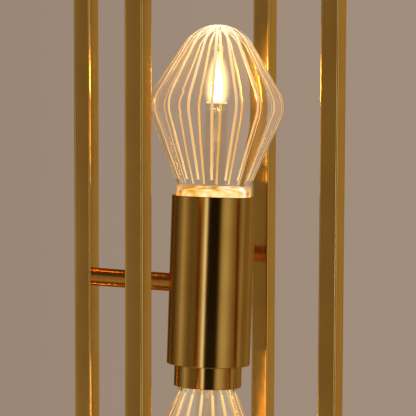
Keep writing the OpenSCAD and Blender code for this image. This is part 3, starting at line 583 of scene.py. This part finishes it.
def envelope_mesh(name, end):
    """Shell of the envelope, from the inner tip down to the seat and up to the outer tip.
    Columns follow the engraved lines at a set distance from each line's middle, so that
    x = r cos(line + d/r); inside a line the outer face sinks along its normal by
    depth sin^2(pi/2 (1 - d^2/half^2)), and the line starts in a half round."""
    outer, inner = bulb_outline(end, 0.0), bulb_outline(end, GLASS_WALL)[::-1]
    way = np.concatenate([[0.0], np.cumsum(np.linalg.norm(np.diff(outer, axis=0), axis=1))])
    start = way[1] + LINE_START
    fine = start + np.linspace(-1.0, 1.0, 17) * LINE_WIDTH / 2
    rest = np.concatenate([np.arange(0.0, way[-1], RING_STEP), way[1] + np.array([-MM, MM]), way])
    rest = rest[np.abs(rest - start) > LINE_WIDTH / 2 + 0.1 * MM]
    s = np.unique(np.round(np.concatenate([fine, rest]), 6))
    ring = np.stack([np.interp(s, way, outer[:, 0]), np.interp(s, way, outer[:, 1])], -1)
    slope = np.gradient(ring, axis=0)
    slope /= np.linalg.norm(slope, axis=1, keepdims=True)
    normal = np.stack([slope[:, 1], -slope[:, 0]], -1)
    share = np.linspace(-1.0, 1.0, LINE_COLUMNS)
    taper = LINE_NARROW + (1.0 - LINE_NARROW) * np.clip((s - start) / LINE_TAPER, 0.0, 1.0)
    half = np.minimum(LINE_WIDTH / 2 * taper, LINES_MEET * math.pi * ring[:, 0] / LINE_COUNT)
    across = np.concatenate([share, np.full(GAP_COLUMNS, 2.0)])
    in_line = half[:, None] * share / ring[:, :1]
    gap = 2.0 * math.pi / LINE_COUNT - 2.0 * half / ring[:, 0]
    step = np.linspace(0, 1, GAP_COLUMNS + 2)[1:-1]
    between = (half / ring[:, 0])[:, None] + gap[:, None] * step
    offset = np.concatenate([in_line, between], 1)
    line = np.arange(LINE_COUNT) * 2.0 * math.pi / LINE_COUNT + LINE_TURN
    a = (line[None, :, None] + offset[:, None, :]).reshape(len(s), -1)
    short = np.maximum(start - s, 0.0) / (LINE_WIDTH / 2)
    distance = np.sqrt(across[None] ** 2 + short[:, None] ** 2)
    glow = np.tile(np.clip(1.0 - distance ** 2, 0.0, 1.0), (1, LINE_COUNT))
    sunk = LINE_DEPTH * np.sin(glow * math.pi / 2) ** 2
    seat_edge = np.clip((SEAT[end] + SEAT_LIT - ring[:, 1:]) / SEAT_FADE, 0.0, SEAT_GLOW)
    glow = np.maximum(glow, seat_edge)
    r, t = ring[:, :1] - normal[:, :1] * sunk, ring[:, 1:] - normal[:, 1:] * sunk
    a_in = np.broadcast_to(a[0], (len(inner), a.shape[1]))
    r = np.concatenate([np.broadcast_to(inner[:, :1], a_in.shape), r])
    t = np.concatenate([np.broadcast_to(inner[:, 1:], a_in.shape), t])
    a = np.concatenate([a_in, a])
    grid = np.stack([r * np.cos(a), r * np.sin(a), t], -1)
    glow = np.concatenate([np.zeros(a_in.shape), glow])
    reach = np.concatenate([np.ones(len(inner)), s / way[-1]])
    uv = np.stack(np.meshgrid(np.linspace(0.0, 1.0, a.shape[1] + 1),
                              np.append(reach, 1.0)), -1)
    mesh = build_mesh(name, grid, uv, poles=(True, True))
    spread = np.broadcast_to(reach[:, None], glow.shape)
    flame = np.array([0.0, 0.0, GIRDLE_T[end] + HAZE_UP])
    haze = HAZE_AT ** 4 / ((grid - flame) ** 2).sum(-1) ** 2
    haze += NECK_LIT * np.clip((NECK_LIT_TO - grid[..., 2]) / NECK_FADE, 0.0, 1.0)
    for label, values, tip in (("line", glow, 0.0), ("reach", spread, 1.0),
                               ("haze", haze, TIP_HAZE)):
        layer = mesh.attributes.new(label, "FLOAT", "POINT")
        layer.data.foreach_set("value", np.append(values.ravel(), [tip, tip]).astype(np.float32))
    return mesh


ACRYLIC_IOR = 1.49
SKIN_SHARE = 0.45
CLEAR, FULLY_CLEAR, MILLED, SKIN_TINT = "#FBFAF6", "#FFFFFF", "#6A6258", "#616161"


def thin_acrylic(name, roughness):
    """Thin clear acrylic: it shows what lies behind as it is, and its polished skin mirrors
    more the more it is seen from the side, by Fresnel's law at each front."""
    made, add = clear_nodes(bpy.data.materials.new(name))
    face = add("NewGeometry")
    front = add("Math", {0: 1.0, 1: face.outputs["Backfacing"]}, operation="SUBTRACT")
    fresnel = add("Fresnel", {"IOR": ACRYLIC_IOR})
    each = add("Math", {0: fresnel, 1: front}, operation="MULTIPLY")
    mirror = add("Math", {0: each, 1: SKIN_SHARE}, operation="MULTIPLY")
    clear = add("BsdfTransparent", {"Color": CLEAR})
    skin = add("BsdfGlossy", {"Roughness": roughness})
    both = add("MixShader", {0: mirror, 1: clear, 2: skin})
    add("OutputMaterial", {0: both})
    return made


# A line's glow from the neck, 0, to the tip, 1
LINE_GLOW = [(0.13, "#FFD184"), (0.22, "#ECB365"), (0.5, "#EAB169"), (0.8, "#FFDB9A", 1.05),
             (1.0, "#FFEFD0", 1.5)]
LINE_EDGE, LINE_FULL = 0.08, 0.6
HAZE_GLOW = "#352103"
SIDE_DEPTH = 5.0
# In mirrors the lines are this much brighter, but by the share only in the upper part and
# on the side away from the arm
LINES_MIRRORED, MIRRORED_SHARE = 13.0, 0.1
LOW_TO, HIGH_FROM = 0.35, 0.55
FAR_SIDE, ARM_SIDE = HOLDER_OFF + 5.0 * MM, HOLDER_OFF - 30.0 * MM


def engraved_acrylic():
    """Clear acrylic whose milled lines are matt and light up, warm near the neck and almost
    white at the tip. The line attribute is 1 in the middle of a line and 0 outside. The haze
    attribute is the light that the wall scatters; seen from the side the wall is deeper and
    glows more, by 1 + depth facing^2. A camera clips the lines, but metal mirrors their full
    light, so a ray that comes from metal sees them brighter, by 1 + (mirrored - 1) low near."""
    made, add = clear_nodes(bpy.data.materials.new("engraved_clear_acrylic"))
    line = add("Attribute", attribute_name="line").outputs["Fac"]
    reach = add("Attribute", attribute_name="reach").outputs["Fac"]
    haze = add("Attribute", attribute_name="haze").outputs["Fac"]
    cover = add("MapRange", {0: line, 1: LINE_EDGE, 2: LINE_FULL})
    clear = add("Math", {0: 1.0, 1: cover}, operation="SUBTRACT")
    warm = add("ValToRGB", {0: reach})
    fill_ramp(warm, LINE_GLOW)
    edge = add("LayerWeight", {"Blend": 0.5})
    steep = add("Math", {0: edge.outputs["Facing"], 1: 2.0}, operation="POWER")
    deep = add("Math", {0: steep, 1: SIDE_DEPTH, 2: 1.0}, operation="MULTIPLY_ADD")
    thick = add("Math", {0: haze, 1: deep}, operation="MULTIPLY")
    veil = add("VectorMath", {0: HAZE_GLOW, 3: thick}, operation="SCALE")
    given = add("Mix", {0: cover, 6: veil, 7: warm}, data_type="RGBA")
    tint = add("Mix", {0: cover, 6: FULLY_CLEAR, 7: MILLED}, data_type="RGBA")
    ray = add("LightPath")
    outside = add("MapRange", {0: ray.outputs["Transmission Depth"], 3: 1.0, 4: 0.0})
    mirrored = add("MapRange", {0: ray.outputs["Glossy Depth"], 3: 0.0, 4: LINES_MIRRORED - 1.0})
    low = add("MapRange", {0: reach, 1: LOW_TO, 2: HIGH_FROM, 3: 1.0, 4: MIRRORED_SHARE})
    spot = add("TexCoord")
    along = add("SeparateXYZ", {0: spot.outputs["Object"]})
    near = add("MapRange", {0: along.outputs["X"], 1: FAR_SIDE, 2: ARM_SIDE, 3: MIRRORED_SHARE,
                            4: 1.0})
    gain = add("Math", {0: outside, 1: mirrored}, operation="MULTIPLY")
    part = add("Math", {0: low, 1: near}, operation="MULTIPLY")
    more = add("Math", {0: gain, 1: part, 2: 1.0}, operation="MULTIPLY_ADD")
    shown = add("VectorMath", {0: given.outputs[2], 3: more}, operation="SCALE")
    shell = add("BsdfPrincipled", {"Roughness": 0.0, "IOR": ACRYLIC_IOR, "Emission Strength": 1.0,
                                   "Specular Tint": SKIN_TINT, "Base Color": tint.outputs[2],
                                   "Transmission Weight": clear, "Emission Color": shown})
    add("OutputMaterial", {0: shell})
    return made


# Drawn acrylic is faintly streaked and soft in its reflections; moulded acrylic is sharper
engraved = engraved_acrylic()
drawn_acrylic = thin_acrylic("drawn_clear_acrylic", 0.3)
clear_acrylic = thin_acrylic("moulded_clear_acrylic", 0.05)
for tag, end, place in BULBS:
    place_piece(envelope_mesh("envelope_" + tag, end), "bulb_" + tag, "clear_acrylic",
                engraved, "glass_" + tag, place=place)

# Pillars: a clear acrylic tube in each bulb that stands on the board and carries the flame.
# Drawn, with polished ends, which catch the light as thin bright rings.
PILLAR_R = 8.7 * MM
PILLAR_WALL = 1.2 * MM
BOARD_LIFT = 3.5 * MM
BOARD_T = 1.6 * MM
HEAD_DROP = 2.7 * MM

for tag, end, place in BULBS:
    foot, head = SEAT[end] + BOARD_LIFT + BOARD_T, GIRDLE_T[end] - HEAD_DROP
    bore = PILLAR_R - PILLAR_WALL
    wall = ease([(PILLAR_R, foot), (PILLAR_R, head), (bore, head), (bore, foot)], [0.15] * 4)
    place_piece(revolve("pillar_tube_" + tag, wall, 64), "bulb_" + tag, "clear_acrylic",
                drawn_acrylic, "pillar_" + tag, place=place)


# Flames: a clear head on each pillar, a frosted plate on it, and a lens shaped like a flame.
# A strong diode in the plate lights the lens, brightest in its middle, softer outwards.
HEAD_H = 4.5 * MM
PLATE_T = 1.5 * MM
FLAME_R = 8.2 * MM
FLAME_H = 33.0 * MM
FLAME_START, FLAME_TAPER = 0.18, 0.3
CORE_WIDE, CORE_TALL = 0.58, 0.80
# The glow is drawn as nested shells, wide to narrow; one gets taller by a share of what it
# gets wider, less so outside the lens
GLOW_SHELLS, AURA_WIDE, TALLER_IN, TALLER_OUT = 6, 1.5, 0.64, 0.3
GLOW_SOFT = 3.0
MIRRORED_MORE = 24.0


def flame_mesh(name, foot, wide, tall):
    """Candle flame turned round Z: r = R sqrt(sin(pi (a + (1 - a) s))) (1 - b s) at the share
    s of its height, with a and b its start and taper, scaled by wide and tall."""
    s = np.append(np.linspace(0.0, 0.9, 26), 1.0 - np.geomspace(0.08, 0.002, 8))
    swell = np.sqrt(np.sin(math.pi * (FLAME_START + (1 - FLAME_START) * s)))
    r = FLAME_R * wide * swell * (1 - FLAME_TAPER * s)
    return revolve(name, np.stack([r, foot + FLAME_H * tall * s], -1), 48, False)


def join_meshes(name, meshes):
    """One mesh of several, point for point."""
    work = bmesh.new()
    for mesh in meshes:
        work.from_mesh(mesh)
        bpy.data.meshes.remove(mesh)
    joined = bpy.data.meshes.new(name)
    work.to_mesh(joined)
    work.free()
    return joined


def glow(name, colour, strength, see_through):
    """Frosted acrylic lit from inside: an even glow, or, if see-through, a glow over what lies
    behind that fades to nothing at the outline, by (1 - facing)^soft, as in a cloud. A camera
    clips the flame to white, but metal mirrors its full light, so mirrors show more."""
    made, add = clear_nodes(bpy.data.materials.new(name))
    if not see_through:
        lit = add("Emission", {"Color": colour, "Strength": strength})
    else:
        edge = add("LayerWeight", {"Blend": 0.5})
        facing = add("Math", {0: 1.0, 1: edge.outputs["Facing"]}, operation="SUBTRACT")
        fade = add("Math", {0: facing, 1: GLOW_SOFT}, operation="POWER")
        ray = add("LightPath")
        mirrored = add("MapRange", {0: ray.outputs["Glossy Depth"], 3: strength,
                                    4: strength * MIRRORED_MORE})
        shown = add("Math", {0: fade, 1: mirrored}, operation="MULTIPLY")
        light = add("Emission", {"Color": colour, "Strength": shown})
        lit = add("AddShader", {0: add("BsdfTransparent"), 1: light})
    add("OutputMaterial", {0: lit})
    return made


# Frosted acrylic: its own light hides all but its outline
flame_core = glow("frosted_flame_core", "#FFE0A8", 30.0, False)
flame_glow = glow("frosted_flame_glow", "#FFC678", 0.5, True)
lit_plate = glow("frosted_lit_plate", "#FFE39A", 1.1, False)
for tag, end, place in BULBS:
    body = "bulb_" + tag
    foot = GIRDLE_T[end] - HEAD_DROP
    top = foot + HEAD_H
    rim, low, seam = PILLAR_R - 1 * MM, foot + 0.05 * MM, top - PLATE_T - 0.1 * MM
    head = [(rim, low), (PILLAR_R - 0.2 * MM, low), (PILLAR_R, foot + 0.25 * MM),
            (PILLAR_R, top - PLATE_T - 0.5 * MM), (PILLAR_R - 0.3 * MM, seam), (rim, seam)]
    place_piece(revolve("flame_head_" + tag, head, 64, False), body, "clear_acrylic",
                clear_acrylic, "flame_" + tag, place=place)
    plate = [(rim * 0.6, top - PLATE_T), (rim, top - PLATE_T),
             (rim + 0.3 * MM, top - PLATE_T / 2), (rim, top), (rim * 0.6, top)]
    place_piece(revolve("flame_plate_" + tag, plate, 64, False), body, "lit_lens", lit_plate,
                place=place)
    place_piece(flame_mesh("flame_core_" + tag, top + 0.1 * MM, CORE_WIDE, CORE_TALL), body,
                "lit_lens", flame_core, place=place)
    shells = [flame_mesh("glow", top + 0.1 * MM, wide,
                         1 + (TALLER_IN if wide < 1 else TALLER_OUT) * (wide - 1))
              for wide in np.linspace(AURA_WIDE, CORE_WIDE + 0.05, GLOW_SHELLS)]
    place_piece(join_meshes("flame_lens_" + tag, shells), body, "lit_lens", flame_glow,
                place=place)


# Light rings: a white board with a ring of warm diodes under a frosted acrylic ring.
# The ring glows unevenly in slow patches from orange to white, with a painted highlight that makes
# it whiter towards the camera's right.
DIODES = {"up": 16, "down": 10}
DIODE_SIDE = 3.0 * MM
DIODE_H = 0.9 * MM
LENS_H = 7.2 * MM
GROOVE_W = 4.0 * MM
GROOVE_H = 1.4 * MM
GLUE = 0.2 * MM
FILM = 0.05 * MM
PATCH = 9.0 * MM
# Painted highlight: per metre towards the camera's right the ring's glow runs this much further
# towards white
RING_HIGHLIGHT_SLOPE = 8.0
RING_STRENGTH = 1.05
RING_GLOW = [(0.36, "#C9862E"), (0.48, "#F5BE62"), (0.60, "#FFDF96"), (0.72, "#FFF8E0")]
TONE_LOW = 0.92


def fine_finish(name, colour, roughness, grain, depth, metallic=0.0, coat=0.0):
    """Opaque finish: noise of the grain's size in metres lifts the surface by the depth and
    moves roughness and tone by a few percent, so that no face looks like paint on a screen."""
    made, add = clear_nodes(bpy.data.materials.new(name))
    where = add("TexCoord")
    speck = add("TexNoise", {"Scale": 1.0 / grain, "Detail": 3.0,
                             "Vector": where.outputs["Object"]})
    rough = add("MapRange", {0: speck, 1: NOISE_LOW, 2: NOISE_HIGH, 3: roughness * 0.85,
                             4: min(roughness * 1.15, 1.0)})
    shade = add("MapRange", {0: speck, 1: NOISE_LOW, 2: NOISE_HIGH, 3: TONE_LOW, 4: 1.0})
    tone = add("VectorMath", {0: colour, 3: shade}, operation="SCALE")
    bump = add("Bump", {"Strength": 1.0, "Distance": depth, "Height": speck})
    surface = add("BsdfPrincipled", {"Metallic": metallic, "Coat Weight": coat,
                                     "Coat Roughness": 0.05, "Base Color": tone, "Roughness": rough,
                                     "Normal": bump})
    add("OutputMaterial", {0: surface})
    return made


def frosted_ring():
    """Sand-blasted acrylic over diodes: slow noise runs from an orange to a white glow, and a
    painted highlight makes it whiter towards the camera's right and more orange to its left."""
    made, add = clear_nodes(bpy.data.materials.new("frosted_light_ring"))
    where = add("TexCoord").outputs["Object"]
    patch = add("TexNoise", {"Scale": 1.0 / PATCH, "Detail": 2.0, "Vector": where})
    # Painted highlight and shade across the ring, along the camera's right
    side = add("VectorMath", {0: where, 1: (level * RING_HIGHLIGHT_SLOPE).tolist()}, operation="DOT_PRODUCT")
    mixed = add("Math", {0: patch, 1: side.outputs["Value"]}, operation="ADD")
    tone = add("ValToRGB", {0: mixed})
    fill_ramp(tone, RING_GLOW)
    light = add("Emission", {"Strength": RING_STRENGTH, "Color": tone})
    add("OutputMaterial", {0: light})
    return made


def ring_of(name, mesh, radius, count, first=0.0):
    """Copies of a mesh round the Z axis: copy k stands at the angle first + 2 pi k / count."""
    copies = []
    for angle in first + np.arange(count) * 2.0 * math.pi / count:
        c, s = math.cos(angle), math.sin(angle)
        copy = mesh.copy()
        copy.transform(Matrix([[c, -s, 0, radius * c], [s, c, 0, radius * s], [0, 0, 1, 0],
                               [0, 0, 0, 1]]))
        copies.append(copy)
    bpy.data.meshes.remove(mesh)
    return join_meshes(name, copies)


light_ring = frosted_ring()
lit_diode = glow("lit_warm_diode", "#FFE0A0", 6.0, False)
# Solder mask: matt white epoxy print on the board, a little bumpy over the copper
solder_mask = fine_finish("white_solder_mask", "#EDEAE2", 0.45, 1.5 * MM, 0.02 * MM)
for tag, end, place in BULBS:
    body = "bulb_" + tag
    r, hole = NECK_R[end] - GLASS_WALL - 2 * GLUE, PILLAR_R + GLUE
    middle = (r + hole) / 2
    low, high = SEAT[end] + BOARD_LIFT, SEAT[end] + BOARD_LIFT + BOARD_T
    edge = 0.15 * MM
    disc = [(r / 2, low), (r - edge, low), (r, low + edge), (r, high - edge), (r - edge, high),
            (r / 2, high)]
    place_piece(revolve("led_disc_" + tag, disc, 96, False), body, "led_board", solder_mask,
                "led_board_" + tag, place=place)
    corner = DIODE_SIDE * 0.707
    chip = [(DIODE_SIDE / 2, high), (corner, high + 0.05 * MM), (corner, high + DIODE_H),
            (DIODE_SIDE * 0.6, high + DIODE_H)]
    place_piece(ring_of("diodes_" + tag, revolve("chip", chip, 4, False), middle, DIODES[end]),
                body, "led_board", lit_diode, place=place)
    foot, top = high + FILM, high + FILM + LENS_H
    inside, outside = middle - GROOVE_W / 2, middle + GROOVE_W / 2
    profile = ease([(r, foot), (r, top - 1 * MM), (r - 1 * MM, top), (hole, top), (hole, foot),
                    (inside, foot), (inside, foot + GROOVE_H), (outside, foot + GROOVE_H),
                    (outside, foot)], [0.15] * 9, 2)
    place_piece(revolve("light_ring_" + tag, profile, 96), body, "lit_lens", light_ring,
                place=place)


# Bulb bases: an aluminium housing that carries the board and the envelope, above a screw cap.
# The cap is rolled from nickel-plated sheet, with black glass and a brass button at its end.
CAP_R = 13.0 * MM
CAP_FROM, CAP_TO = 27.0 * MM, 48.0 * MM
CAP_PITCH = 3.63 * MM
CAP_DEPTH = 1.1 * MM
CAP_GLASS_FROM, CAP_TIP_FROM, CAP_TIP_R = 24.5 * MM, 23.3 * MM, 4.8 * MM
FLARE_T = 50.3 * MM


def rolled_thread(name, radius, depth, pitch, foot, head):
    """Round thread rolled into a shell: r = R - depth/2 (1 - cos(2 pi (h/pitch - a/2 pi))),
    fading out over half a turn at both ends."""
    a = np.linspace(0.0, 2.0 * math.pi, 97)[None]
    h = np.linspace(foot, head, int((head - foot) / pitch * 14))[:, None]
    fade = np.clip(np.minimum(h - foot, head - h) / (pitch / 2), 0.0, 1.0)
    wave = 1.0 - np.cos(2.0 * math.pi * h / pitch - a)
    r = radius - depth / 2 * wave * fade
    grid = np.stack([r * np.cos(a), r * np.sin(a), h + 0 * a], -1)[:, :-1]
    uv = np.stack(np.broadcast_arrays(a * radius, np.append(h, head)[:, None]), -1)
    return build_mesh(name, grid, uv, poles=(True, True))


# Turned aluminium: dull silver, fine and even; nickel plate: brighter and a little yellow
aluminium = fine_finish("turned_aluminium", "#C9C7C1", 0.34, 0.6 * MM, 0.01 * MM, 1.0)
nickel = fine_finish("nickel_plate", "#CFC8BA", 0.2, 2.0 * MM, 0.01 * MM, 1.0)
# Cap glass: pressed and glossy; raw brass: unlacquered stampings, yellower than the tubes
cap_glass = fine_finish("black_cap_glass", "#141414", 0.08, 3.0 * MM, 0.01 * MM)
raw_brass = fine_finish("raw_brass", "#D9B56A", 0.3, 1.2 * MM, 0.01 * MM, 1.0)
for tag, end, place in BULBS:
    seat, r = SEAT[end], NECK_R[end]
    spigot, lip = r - GLASS_WALL - GLUE, seat + BOARD_LIFT - 0.1 * MM
    housing = [(CAP_R - 1.5 * MM, CAP_TO), (CAP_R, FLARE_T), (CAP_R + 3 * MM, FLARE_T),
               (r - 0.3 * MM, seat - 3.2 * MM), (r, seat - 2.8 * MM), (r, seat - 0.2 * MM),
               (r - 0.2 * MM, seat), (spigot, seat), (spigot, lip), (spigot / 2, lip)]
    cone = [(CAP_TIP_R, CAP_GLASS_FROM), (CAP_R - 1.2 * MM, CAP_FROM)]
    button = [(CAP_TIP_R * 0.5, CAP_TIP_FROM), (CAP_TIP_R * 0.8, CAP_TIP_FROM + 0.3 * MM),
              (CAP_TIP_R * 0.95, CAP_GLASS_FROM)]
    for mesh, finish, *replaced in (
        (revolve("bulb_housing_" + tag, housing, 96, False), aluminium, "bulb_base_" + tag),
        (rolled_thread("screw_cap_" + tag, CAP_R, CAP_DEPTH, CAP_PITCH, CAP_FROM, CAP_TO), nickel),
        (revolve("cap_glass_" + tag, cone, 64, False), cap_glass),
        (revolve("cap_button_" + tag, button, 48, False), raw_brass),
    ):
        place_piece(mesh, "bulb_" + tag, "bulb_housing", finish, *replaced, place=place)


# Base fittings: a steel cover, held by four pan-head screws with a cross, closes the recess.
# The base stands on four moulded rubber pads with a grip ring below.
FITTING_TURN = math.radians(45.0)
PAD_R = 13.0 * MM
PAD_T = 4.0 * MM
PAD_RING = 129.0 * MM
SCREW_RING = 80.0 * MM
SCREW_HEAD_R, SCREW_HEAD_T = 3.5 * MM, 1.8 * MM
SCREW_R = 2.0 * MM
SCREW_GRIP = 8.0 * MM
CROSS_HALF, CROSS_REACH, CROSS_DEEP = 0.45 * MM, 1.9 * MM, 1.1 * MM


def pan_screw(name):
    """Screw with its head below: the head's height is T sqrt(1 - 0.8 (r/R)^2), less a cross
    where |x| or |y| is under its half width, and the shank runs up from the head."""
    a = np.linspace(0.0, 2.0 * math.pi, 97)[None, :-1]
    r = np.concatenate([np.linspace(0.05, 0.6, 14), np.linspace(0.65, 1.0, 8)])[:, None]
    r = r * SCREW_HEAD_R
    x, y = r * np.cos(a), r * np.sin(a)
    slot = np.clip((CROSS_HALF - np.minimum(np.abs(x), np.abs(y))) / (0.15 * MM) + 0.5, 0, 1)
    slot = slot * np.clip((CROSS_REACH - r) / (0.3 * MM), 0.0, 1.0)
    dome = SCREW_HEAD_T * np.sqrt(1.0 - 0.8 * (r / SCREW_HEAD_R) ** 2)
    head = np.stack([x, y, PAD_T - dome + CROSS_DEEP * slot], -1)
    stem_r = np.array([SCREW_HEAD_R, SCREW_R, SCREW_R, SCREW_R * 0.6])[:, None]
    stem_z = np.array([0.0, 0.0, SCREW_GRIP - 0.8 * MM, SCREW_GRIP])[:, None] + PAD_T
    stem = np.stack([stem_r * np.cos(a), stem_r * np.sin(a), stem_z + 0 * a], -1)
    grid = np.concatenate([head, stem])
    uv = np.stack(np.meshgrid(np.linspace(0.0, 1.0, grid.shape[1] + 1),
                              np.linspace(0.0, 1.0, len(grid) + 1)), -1)
    return build_mesh(name, grid, uv, poles=(True, True), smooth=30.0)


# Zinc plate: thin bluish grey, slightly mottled; rubber: matt black, a fine moulded grain
zinc = fine_finish("zinc_plated_steel", "#B9BCBF", 0.33, 4.0 * MM, 0.01 * MM, 1.0)
pad_rubber = fine_finish("moulded_black_rubber", "#1B1B1A", 0.8, 0.5 * MM, 0.03 * MM)
place_piece(ring_of("pan_screws", pan_screw("screw"), SCREW_RING, 4, FITTING_TURN), "frame",
            "zinc_steel", zinc, "cover_screws")
pad = [(PAD_R * 0.35, 0.0), (PAD_R * 0.45, 0.3 * MM), (PAD_R * 0.55, 0.3 * MM),
       (PAD_R * 0.65, 0.0), (PAD_R - 1.3 * MM, 0.0), (PAD_R - 0.4 * MM, 0.35 * MM),
       (PAD_R, 1.2 * MM), (PAD_R, PAD_T), (PAD_R * 0.5, PAD_T)]
place_piece(ring_of("grip_pads", revolve("pad", pad, 64, False), PAD_RING, 4, FITTING_TURN),
            "frame", "pad_rubber", pad_rubber, "foot_pads")


# Cord inlet: a moulded nylon bush in the rim beside the back post, held by a nut inside.
# Its flange is rounded, and its bore flares so that it doesn't cut into a cord.
INLET_TURN = math.radians(22.5)
INLET_Z = 11.0 * MM
INLET_FACE = 149.4 * MM
BUSH_R, BUSH_FLANGE_R, BUSH_FLANGE_T = 5.0 * MM, 6.5 * MM, 2.0 * MM
BUSH_BORE, BUSH_LEN = 3.25 * MM, 14.0 * MM

# Moulded nylon: black, low sheen, with a fine spark-eroded grain
nylon = fine_finish("moulded_black_nylon", "#23201D", 0.5, 0.35 * MM, 0.015 * MM)
bush = ease([(BUSH_FLANGE_R, 0), (BUSH_FLANGE_R, BUSH_FLANGE_T), (BUSH_R, BUSH_FLANGE_T),
             (BUSH_R, BUSH_LEN), (BUSH_BORE, BUSH_LEN), (BUSH_BORE, 0)],
            [0.7, 0.2, 0.2, 0.5, 0.3, 0.9])
c, s = math.cos(INLET_TURN), math.sin(INLET_TURN)
inwards = np.array([[c, 0, s, -s * INLET_FACE], [s, 0, -c, c * INLET_FACE], [0, 1, 0, INLET_Z],
                    [0, 0, 0, 1.0]])
place_piece(revolve("cord_bush", bush, 64), "frame", "black_nylon", nylon, "inlet_bush",
            place=inwards)


# Hidden fittings: the CAD solids keep their shape and get finishes that match their making.
# Glazed porcelain cups, silicone leads, fibre washers, nylon terminals and plated steel.
porcelain = fine_finish("glazed_porcelain", "#ECE7DB", 0.12, 5.0 * MM, 0.03 * MM, coat=0.6)
silicone = fine_finish("white_silicone", "#DAD6CC", 0.55, 0.8 * MM, 0.01 * MM)
white_nylon = fine_finish("moulded_white_nylon", "#DCD8CD", 0.4, 0.4 * MM, 0.01 * MM)
fibre = fine_finish("vulcanised_fibre", "#6A3E24", 0.6, 0.7 * MM, 0.03 * MM)
HIDDEN = {
    zinc: ("base_cover", "inlet_nut", "post_plugs", "post_nuts", "arm_blocks", "hub_nuts",
           "carrier_low", "carrier_high", "holder_nuts_low", "holder_nuts_high"),
    raw_brass: ("post_nipples", "contacts_low", "contacts_high"),
    porcelain: ["lampholder_" + tag for tag, end, place in BULBS],
    silicone: ("lead_harness", "holder_leads_low", "holder_leads_high"),
    white_nylon: ("terminal_block",),
    fibre: ("hub_washers",),
}
for finish, names in HIDDEN.items():
    for name in names:
        nodes[name].material_slots[0].material = finish
